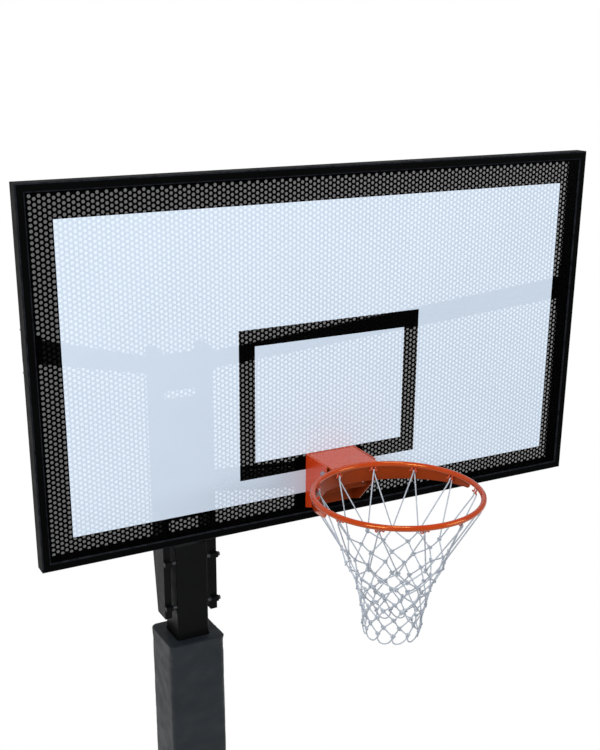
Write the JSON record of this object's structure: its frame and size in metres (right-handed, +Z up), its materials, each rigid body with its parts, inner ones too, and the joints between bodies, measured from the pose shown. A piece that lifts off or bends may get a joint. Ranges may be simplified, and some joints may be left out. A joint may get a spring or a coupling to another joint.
{
  "type": "basketball backboard",
  "caption": "Basketball goal: perforated steel board on a cantilevered mast and padded post, with a sprung breakaway rim and a cord net.",
  "frame": {"origin": "on the ground under the post's axis, at the centre of the base plate's underside", "axes": "+Z up along the post, the board faces -Y, +X to the right of the board as seen from its front"},
  "size_m": [1.8288, 2.0256, 3.9],
  "materials": {
    "painted_black": "satin",
    "painted_white": "satin",
    "painted_orange": "gloss",
    "zinc_steel": "satin",
    "bush_brass": "satin",
    "buffer_rubber": "matte",
    "net_cord": "matte",
    "pad_vinyl": "satin vinyl"
  },
  "bodies": {
    "stand": {"frame_top_tube": "painted_black", "frame_bottom_tube": "painted_black", "frame_left_tube": "painted_black", "frame_right_tube": "painted_black", "sheet_clips": "painted_black", "arm_left_end_plate": "painted_black", "arm_right_end_plate": "painted_black", "upper_arm_left": "painted_black", "upper_arm_right": "painted_black", "lower_arm_left": "painted_black", "lower_arm_right": "painted_black", "mast_left_tube": "painted_black", "mast_right_tube": "painted_black", "mast_caps": "painted_black", "mast_head_plate": "painted_black", "mast_web_plate": "painted_black", "mast_tie_plate": "painted_black", "mast_ears": "painted_black", "post_tube": "painted_black", "post_cap": "painted_black", "base_plate": "painted_black", "base_gussets": "painted_black", "rim_mount_plate": "painted_black", "perforated_sheet": "painted_white", "rim_bracket": "painted_orange", "spring_stop_bar": "painted_orange", "rest_bar": "painted_orange", "rim_bolts": "painted_orange", "arm_end_bolts": "zinc_steel", "arm_end_nuts": "zinc_steel", "mast_bolts": "zinc_steel", "mast_spacers": "zinc_steel", "mast_washers": "zinc_steel", "rim_nuts": "zinc_steel", "rim_washers": "zinc_steel", "hinge_pin": "zinc_steel", "hinge_pin_nut": "zinc_steel", "spring_left": "zinc_steel", "spring_right": "zinc_steel", "rest_buffer": "buffer_rubber", "post_pad": "pad_vinyl", "pad_closure": "pad_vinyl"},
    "rim": {"rim_top_plate": "painted_orange", "hinge_lugs": "painted_orange", "hinge_barrel": "painted_orange", "hinge_bushes": "bush_brass", "ring": "painted_orange", "wrap_band": "painted_orange", "net_hooks": "painted_orange", "net": "net_cord"}
  },
  "joints": [
    {"name": "breakaway_hinge", "type": "hinge", "parent": "stand", "child": "rim", "pos_m": [0, -1.3144, 3.021], "axis": [1, 0, 0], "range_deg": [0, 30], "stiffness_Nm_per_rad": 57, "springref_deg": -60.16, "deforming": ["spring_left", "spring_right"]}
  ]
}
